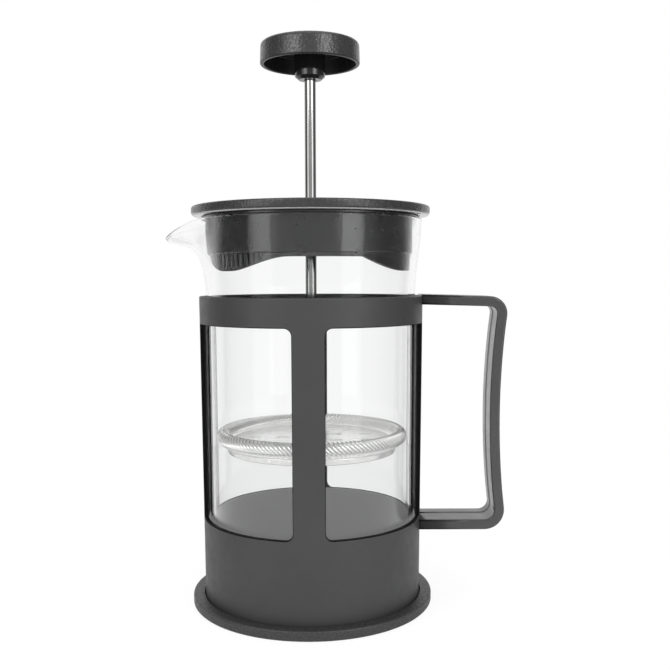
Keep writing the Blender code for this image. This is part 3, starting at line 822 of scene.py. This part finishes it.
def skirt_levels(edge, lip):
    """Heights of the points up a face of the skirt, SKIRT_LEVELS of them."""
    slot_low = edge + 1.2 * MM
    slot_top = max(SLOT_TOP, slot_low + 0.1 * MM)
    step = SKIRT_STEP_Z - 0.5 * MM
    levels = [edge + lip, slot_low, slot_top, max(step, slot_top + 0.05 * MM)]
    for rise in (0.25, 0.5, 0.8):
        levels.append(max(step + rise * MM, levels[-1] + 0.05 * MM))
    return levels


def skirt_profile(degrees):
    """Closed section of the skirt as (r, z): up the outside, round the flange and down."""
    flange_low, flange_top = RIM_Z + 0.3 * MM, top_z("lid_skirt")
    flange = radius_of("lid_skirt")
    lip = 0.35 * MM
    edge = skirt_edge(degrees)
    levels = skirt_levels(edge, lip)
    outer = [(skirt_outer(z), z) for z in levels]
    inner = [(skirt_outer(z) - SKIRT_WALL, z) for z in levels]
    under = [(inner[0][0] + lip * (1 - cos(t)), edge + lip * (1 - sin(t)))
             for t in (pi / 8, pi / 4, 3 * pi / 8)]
    over = [(outer[0][0] - lip * (1 - cos(t)), edge + lip * (1 - sin(t)))
            for t in (3 * pi / 8, pi / 4, pi / 8)]
    top = [(SKIRT_RADIUS, flange_low - 0.4 * MM), (SKIRT_RADIUS + 0.3 * MM, flange_low),
           (flange - 0.2 * MM, flange_low), (flange, flange_low + 0.2 * MM),
           (flange, flange_top - 0.2 * MM), (flange - 0.2 * MM, flange_top),
           (SKIRT_RADIUS - SKIRT_WALL + 0.3 * MM, flange_top),
           (SKIRT_RADIUS - SKIRT_WALL, flange_top - 0.3 * MM)]
    return outer + top + inner[::-1] + under + over


def make_lid_skirt(look):
    """The wall that hangs in the beaker: wavy lower edge, step, flange and strainer slots."""
    angles, slots = skirt_angles()
    shape = bmesh.new()
    columns = []
    for degrees in angles:
        a = radians(degrees)
        columns.append([shape.verts.new((r * sin(a), -r * cos(a), z))
                        for r, z in skirt_profile(degrees)])
    rows = len(columns[0])
    out_low, out_high = 1, 2
    in_low = SKIRT_TOP_POINTS + 2 * SKIRT_LEVELS - 2
    in_high = in_low - 1
    for k, column in enumerate(columns):
        following = columns[(k + 1) % len(columns)]
        is_slot = any(abs(angles[k] - start) < 1e-6 for start, _ in slots)
        for i in range(rows):
            j = (i + 1) % rows
            if is_slot and i in (out_low, in_high):
                continue
            shape.faces.new((column[i], column[j], following[j], following[i]))
        if is_slot:
            for side in (column, following):
                shape.faces.new((side[out_low], side[out_high], side[in_high], side[in_low]))
            for a, b in ((out_low, in_low), (out_high, in_high)):
                shape.faces.new((column[a], column[b], following[b], following[a]))
    add_piece("skirt", shape, "lid", look, ["lid_skirt"])


def make_bush(look):
    """A flanged sleeve that guides the rod."""
    radius, top, low = radius_of("lid_bush"), top_z("lid_bush"), low_z("lid_bush")
    flange_low = top - BUSH_FLANGE_HEIGHT
    corners = [(BUSH_NECK, low, 0.2 * MM), (BUSH_NECK, flange_low, 0.1 * MM),
               (radius, flange_low, 0.15 * MM), (radius, top, 0.4 * MM),
               (BUSH_BORE, top, 0.4 * MM), (BUSH_BORE, low, 0.2 * MM)]
    shape = lathe(corners, SMALL_ROUND, closed=True)
    add_piece("guide_bush", shape, "lid_guide", look, ["lid_bush"])


# ---------------------------------------------------------------- rod and knob

def make_rod(look):
    radius, low, top = radius_of("plunger_rod"), low_z("plunger_rod"), top_z("plunger_rod")
    corners = [(0, low, 0), (radius, low, 0.4 * MM), (radius, top, 0.4 * MM), (0, top, 0)]
    add_piece("rod", lathe(corners, SMALL_ROUND), "rod", look,
              ["plunger_rod"])


def make_collar(look):
    radius, low, top = radius_of("rod_collar"), low_z("rod_collar"), top_z("rod_collar")
    corners = [(ROD_BORE, low, 0), (ROD_BORE, top, 0.1 * MM), (radius, top, 0.5 * MM),
               (radius, low, 0.15 * MM)]
    shape = lathe(corners, SMALL_ROUND, closed=True)
    add_piece("collar", shape, "plunger", look, ["rod_collar"])


def make_knob(look, hollow, boss_painted_shade):
    """A hollow cap, grained outside, with a slightly domed top and a boss round the rod."""
    radius, low, top = radius_of("knob"), low_z("knob"), top_z("knob")
    rim, ceiling = KNOB_RIM_Z, top - KNOB_CEILING_DROP
    inner = radius - KNOB_WALL
    edge_z = top - 1.3 * MM
    bore_end = low + KNOB_BORE_DEPTH
    corners = [(0, top, 0), (radius / 2, top - 0.4 * MM, 0), (radius - 0.2 * MM, edge_z, 1.4 * MM),
               (radius, rim, 0.55 * MM), (inner, rim, 0.4 * MM),
               (inner - 0.3 * MM, ceiling, 0.3 * MM), (BOSS_RADIUS + 0.2 * MM, ceiling, 0.3 * MM),
               (BOSS_RADIUS, low + 1.0 * MM, 0.2 * MM), (BOSS_RADIUS - 1.2 * MM, low, 0.2 * MM),
               (KNOB_BORE, low, 0.15 * MM), (KNOB_BORE, bore_end, 0), (0, bore_end, 0)]
    shape = lathe(corners, 144)
    cap = add_piece("knob_cap", shape, "plunger", look,
                    ["knob", "knob_insert"])

    def is_hollow(centre, normal):
        within = centre.xy.length < inner + 0.2 * MM and centre.z < ceiling
        return normal.z < -0.25 or within

    def is_boss(centre, normal):
        return centre.xy.length < BOSS_RADIUS + 0.1 * MM and centre.z < ceiling - 0.5 * MM

    # painted shade: the hollow is near-black
    extra_look(cap, hollow, is_hollow)
    # painted shade: the boss is near-black
    extra_look(cap, boss_painted_shade, is_boss)


# ---------------------------------------------------------------- filter

def coil_sizes():
    """Radius of the ring, radius of the windings round it, and height of its middle."""
    low, top = low_z("coil_spring"), top_z("coil_spring")
    half = (top - low) / 2 - COIL_WIRE
    return radius_of("coil_spring") - half - COIL_WIRE, half, (top + low) / 2


def make_coil(look):
    """One wire wound round the edge of the filter, its turns leaning."""
    ring, half, middle = coil_sizes()
    steps_per_turn, sides = 14, 6
    count = COIL_TURNS * steps_per_turn
    shape = bmesh.new()

    def spot(k):
        phase = 2 * pi * k / steps_per_turn
        height = half * sin(phase)
        angle = 2 * pi * k / count + COIL_LEAN * -height / ring
        reach = ring + half * cos(phase)
        return Vector((reach * cos(angle), reach * sin(angle), middle + height))

    rings = []
    for k in range(count):
        along = (spot(k + 1) - spot(k - 1)).normalized()
        outward = (spot(k) - Vector((0, 0, middle))).normalized()
        side = along.cross(outward).normalized()
        outward = side.cross(along)
        turns = [2 * pi * i / sides for i in range(sides)]
        rings.append([shape.verts.new(spot(k) + COIL_WIRE * (side * cos(t) + outward * sin(t)))
                      for t in turns])
    for first, second in zip(rings, rings[1:] + rings[:1]):
        bridge(shape, first, second)
    add_piece("coil", shape, "plunger", look, ["coil_spring"], False)


def make_coil_core(look):
    """The rolled edge of the spiral plate inside the windings: its dark tone is painted shade
    between the windings, its glow painted light.
    """
    ring, _, middle = coil_sizes()
    around = [2 * pi * k / 16 for k in range(16)]
    outline = [(ring + COIL_CORE * cos(a), middle + COIL_CORE * sin(a), 0) for a in around]
    shape = lathe(outline, closed=True)
    add_piece("coil_core", shape, "plunger", look, ["coil_spring"])


def hole_cutter(name, circles, z):
    """One hidden object of upright cylinders, as (x, y, radius)."""
    shape = bmesh.new()
    for x, y, radius in circles:
        spot = Matrix.Translation((x, y, z))
        bmesh.ops.create_cone(shape, cap_ends=True, segments=28, radius1=radius, radius2=radius,
                              depth=4 * MM, matrix=spot)
    mesh = bpy.data.meshes.new(name)
    shape.to_mesh(mesh)
    shape.free()
    cutter = bpy.data.objects.new(name, mesh)
    cutter.hide_render = True
    cutter.display_type = "WIRE"
    bpy.context.scene.collection.objects.link(cutter)
    return cutter


def perforate(piece, name, circles, z, body):
    """Cut round holes through a plate. The cutter rides on the plate's body."""
    cutter = hole_cutter(name, circles, z)
    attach(cutter, body)
    cut = piece.modifiers.new("holes", "BOOLEAN")
    cut.object = cutter
    cut.solver = "EXACT"
    piece.modifiers.move(len(piece.modifiers) - 1, 0)


def make_spiral_plate(look):
    radius, low, top = radius_of("spiral_plate"), low_z("spiral_plate"), top_z("spiral_plate")
    corners = [(ROD_BORE, low, 0), (ROD_BORE, top, 0), (radius, top, 0.3 * MM),
               (radius, low, 0.3 * MM)]
    shape = lathe(corners, FILTER_ROUND, closed=True)
    plate = add_piece("filter_top_plate", shape, "plunger", look,
                      ["spiral_plate"])
    circles = []
    for ring, count in SPIRAL_HOLE_RINGS:
        for k in range(count):
            angle = 2 * pi * (k + 0.5) / count
            circles.append((ring * MM * cos(angle), ring * MM * sin(angle), SPIRAL_HOLE_RADIUS))
    perforate(plate, "spiral_holes", circles, low, "plunger")


def make_screen(look):
    radius, low, top = radius_of("mesh_screen"), low_z("mesh_screen"), top_z("mesh_screen")
    corners = [(ROD_BORE, low, 0), (ROD_BORE, top, 0), (radius, top, 0.15 * MM),
               (radius, low, 0.15 * MM)]
    shape = lathe(corners, FILTER_ROUND, closed=True)
    add_piece("wire_screen", shape, "plunger", look, ["mesh_screen"])


def make_cross_plate(look):
    """The lower plate, its edge turned up, with large round holes."""
    radius, low, top = radius_of("cross_plate"), low_z("cross_plate"), top_z("cross_plate")
    face = low + CROSS_PLATE_THICKNESS
    corners = [(ROD_BORE, low, 0), (ROD_BORE, face, 0), (radius - 1.5 * MM, face, 0.4 * MM),
               (radius - 0.8 * MM, top, 0.3 * MM), (radius, top, 0.3 * MM),
               (radius - 0.5 * MM, low, 0.5 * MM)]
    shape = lathe(corners, FILTER_ROUND, closed=True)
    plate = add_piece("filter_bottom_plate", shape, "plunger", look,
                      ["cross_plate"])
    angles = [2 * pi * k / CROSS_HOLES for k in range(CROSS_HOLES)]
    circles = [(CROSS_HOLE_CIRCLE * cos(a), CROSS_HOLE_CIRCLE * sin(a), CROSS_HOLE_RADIUS)
               for a in angles]
    perforate(plate, "cross_holes", circles, low, "plunger")


def make_nut(look):
    """A hexagon nut with chamfered corners."""
    low, top = low_z("cross_plate_nut"), top_z("cross_plate_nut")
    radius = BOXES["cross_plate_nut"][1].x
    shape = bmesh.new()
    sides = 48

    def outline(reach, z):
        ring = []
        for k in range(sides):
            angle = 2 * pi * k / sides
            flat = radius * cos(pi / 6) / cos(angle % (pi / 3) - pi / 6)
            r = min(flat, reach)
            ring.append(shape.verts.new((r * cos(angle), r * sin(angle), z)))
        return ring

    narrow = radius * 0.9
    rows = [outline(ROD_BORE, low), outline(narrow, low), outline(radius, low + NUT_CHAMFER),
            outline(radius, top - NUT_CHAMFER), outline(narrow, top), outline(ROD_BORE, top)]
    for first, second in zip(rows, rows[1:] + rows[:1]):
        bridge(shape, first, second)
    add_piece("filter_nut", shape, "plunger", look,
              ["cross_plate_nut"])


# ---------------------------------------------------------------- stage

def make_floor():
    """A round white table top. Past its edge the white of the studio goes on."""
    shape = bmesh.new()
    bmesh.ops.create_circle(shape, cap_ends=True, segments=96, radius=FLOOR_RADIUS)
    mesh = bpy.data.meshes.new("floor")
    shape.to_mesh(mesh)
    shape.free()
    floor = bpy.data.objects.new("floor", mesh)
    floor.location.z = low_z("base_foot") - FLOOR_GAP
    mesh.materials.append(floor_look())
    bpy.context.scene.collection.objects.link(floor)


def make_softbox(name, azimuth, z, width, height, radiance):
    """A soft light that faces the axis. Azimuth 0 is in front, towards -Y, and 90 towards +X."""
    light = bpy.data.lights.new(name, "AREA")
    light.shape = "RECTANGLE"
    light.size, light.size_y = width, height
    light.energy = radiance * pi * width * height
    box = bpy.data.objects.new(name, light)
    a = radians(azimuth)
    box.location = (LIGHT_DISTANCE * sin(a), -LIGHT_DISTANCE * cos(a), z)
    aim = Vector((0, 0, z)) - box.location
    box.rotation_euler = aim.to_track_quat("-Z", "Y").to_euler()
    bpy.context.scene.collection.objects.link(box)


def make_overhead(radiance):
    """A wide soft light above, a little towards the camera."""
    light = bpy.data.lights.new("overhead", "AREA")
    light.shape = "RECTANGLE"
    light.size, light.size_y = OVERHEAD_SIDE, OVERHEAD_SIDE
    light.energy = radiance * pi * OVERHEAD_SIDE * OVERHEAD_SIDE
    box = bpy.data.objects.new("overhead", light)
    box.location = OVERHEAD_PLACE
    bpy.context.scene.collection.objects.link(box)


def make_world():
    """White behind, pale in front and darker at the sides. The camera sees it all white."""
    world = bpy.data.worlds.new("studio")
    bpy.context.scene.world = world
    world.use_nodes = True
    nodes, links = world.node_tree.nodes, world.node_tree.links
    nodes.clear()
    where = nodes.new("ShaderNodeTexCoord")
    turned = nodes.new("ShaderNodeVectorRotate")
    turned.rotation_type = "Z_AXIS"
    turned.inputs["Angle"].default_value = radians(WORLD_TURN)
    links.new(where.outputs["Generated"], turned.inputs["Vector"])
    split = nodes.new("ShaderNodeSeparateXYZ")
    links.new(turned.outputs["Vector"], split.inputs["Vector"])
    along = nodes.new("ShaderNodeMapRange")
    along.inputs["From Min"].default_value = -1.0
    links.new(split.outputs["Y"], along.inputs["Value"])
    tones = nodes.new("ShaderNodeValToRGB")
    tones.color_ramp.interpolation = "EASE"
    while len(tones.color_ramp.elements) < len(WORLD_TONES):
        tones.color_ramp.elements.new(0.5)
    for element, (place, tone) in zip(tones.color_ramp.elements, WORLD_TONES):
        element.position = place
        element.color = (tone, tone, tone, 1.0)
    links.new(along.outputs["Result"], tones.inputs["Fac"])
    lighting = nodes.new("ShaderNodeBackground")
    links.new(tones.outputs["Color"], lighting.inputs["Color"])
    seen = nodes.new("ShaderNodeBackground")
    seen.inputs["Color"].default_value = (1.0, 1.0, 1.0, 1.0)
    ray = nodes.new("ShaderNodeLightPath")
    mix = nodes.new("ShaderNodeMixShader")
    links.new(ray.outputs["Is Camera Ray"], mix.inputs["Fac"])
    links.new(lighting.outputs["Background"], mix.inputs[1])
    links.new(seen.outputs["Background"], mix.inputs[2])
    output = nodes.new("ShaderNodeOutputWorld")
    links.new(mix.outputs["Shader"], output.inputs["Surface"])


def make_camera():
    """In front of the press, a little above its middle, looking slightly down."""
    data = bpy.data.cameras.new("camera")
    data.sensor_width = 36.0
    data.lens = CAMERA_LENS
    data.clip_start = 0.01
    camera = bpy.data.objects.new("camera", data)
    camera.location = CAMERA_PLACE
    tilt = Matrix.Rotation(radians(90 + CAMERA_TILT), 3, "X")
    roll = Matrix.Rotation(radians(CAMERA_ROLL), 3, "Z")
    camera.rotation_euler = (tilt @ roll).to_euler()
    bpy.context.scene.collection.objects.link(camera)
    bpy.context.scene.camera = camera


def make_body():
    """Holder, handle, foot and beaker."""
    satin = smooth_plastic("grey_plastic", (0.042, 0.042, 0.043), 0.48)
    # painted shade for the sides of the windows
    shade = smooth_plastic("window_sides_painted_shade", (0.006, 0.006, 0.0062), 0.50, specular=0.05)
    # painted shade and painted light for the inside of the holder
    painted_light_inside = painted_inside_plastic("holder_inside_painted_light_and_shade", wall=(0.008, 0.008, 0.0082),
                           painted_light_inside=(0.21, 0.21, 0.212), light=0.145,
                           edge_z=WINDOW_BOTTOM + 0.1 * MM)
    strap_look = smooth_plastic("strap_plastic", (0.060, 0.060, 0.062), 0.20)
    foot_grain = grained_plastic("foot_plastic", (0.040, 0.040, 0.0415), 0.40, grain_mm=0.6,
                                 depth_mm=0.05)
    make_holder(satin, painted_light_inside, shade)
    make_handle(strap_look)
    make_foot(foot_grain)
    make_beaker(clear_glass())


def make_lid_and_plunger():
    """Lid, bush, rod, knob and filter."""
    grained = grained_plastic("grained_plastic", (0.040, 0.040, 0.0415), 0.22, grain_mm=0.95,
                              depth_mm=0.06)
    # painted shade under the lid and on the knob's boss
    polished_painted_shade = polished_plastic("polished_plastic", 0.012, 0.08)
    # painted shade in the knob's hollow
    hollow = polished_plastic("knob_hollow_painted_shade", 0.010, 0.40)
    # painted highlight on the lid's lower edge
    edge_painted_highlight = polished_plastic("lid_edge_painted_highlight", 0.42, 0.15)
    skirt_look = smooth_plastic("skirt_plastic", (0.022, 0.022, 0.023), 0.22, specular=0.9)
    bush_look = smooth_plastic("bush_plastic", (0.02, 0.02, 0.021), 0.35)
    drawn = bright_steel("drawn_steel", 0.42, 0.10, stretch=(1.0, 1.0, 0.02))
    # the steel's light is painted light, for what the glass lets in
    rolled = bright_steel("rolled_steel", 0.85, 0.22, stretch=(0.05, 1.0, 1.0), metallic=0.6,
                          light=0.15)
    wire = bright_steel("wire_steel", 0.92, 0.20, stretch=(0.3, 0.3, 0.3), metallic=0.9,
                        light=0.16)
    # painted shade and painted light for the core between the windings
    core_painted_light_and_shade = bright_steel("coil_core_painted_light_and_shade", 0.35, 0.45, stretch=(1.0, 1.0, 1.0), metallic=0.5,
                        light=0.24)
    make_lid_cover(grained, polished_painted_shade, edge_painted_highlight)
    make_lid_skirt(skirt_look)
    make_bush(bush_look)
    make_rod(drawn)
    make_collar(rolled)
    make_knob(grained, hollow, polished_painted_shade)
    make_coil(wire)
    make_coil_core(core_painted_light_and_shade)
    make_spiral_plate(rolled)
    make_screen(wire_cloth())
    make_cross_plate(rolled)
    make_nut(rolled)


def make_studio():
    """White table and background, two tall softboxes, two high ones and a light above."""
    make_floor()
    make_softbox("softbox_left", azimuth=-51, z=0.30, width=0.21, height=0.9, radiance=1.4)
    make_softbox("softbox_right", azimuth=44, z=0.30, width=0.20, height=0.9, radiance=1.7)
    make_softbox("high_left", azimuth=-33, z=0.36, width=0.20, height=0.2, radiance=4.0)
    make_softbox("high_right", azimuth=34, z=0.36, width=0.20, height=0.2, radiance=4.0)
    make_overhead(1.2)
    make_world()
    make_camera()
    bpy.context.scene.view_settings.view_transform = "Standard"


make_body()
make_lid_and_plunger()
make_studio()
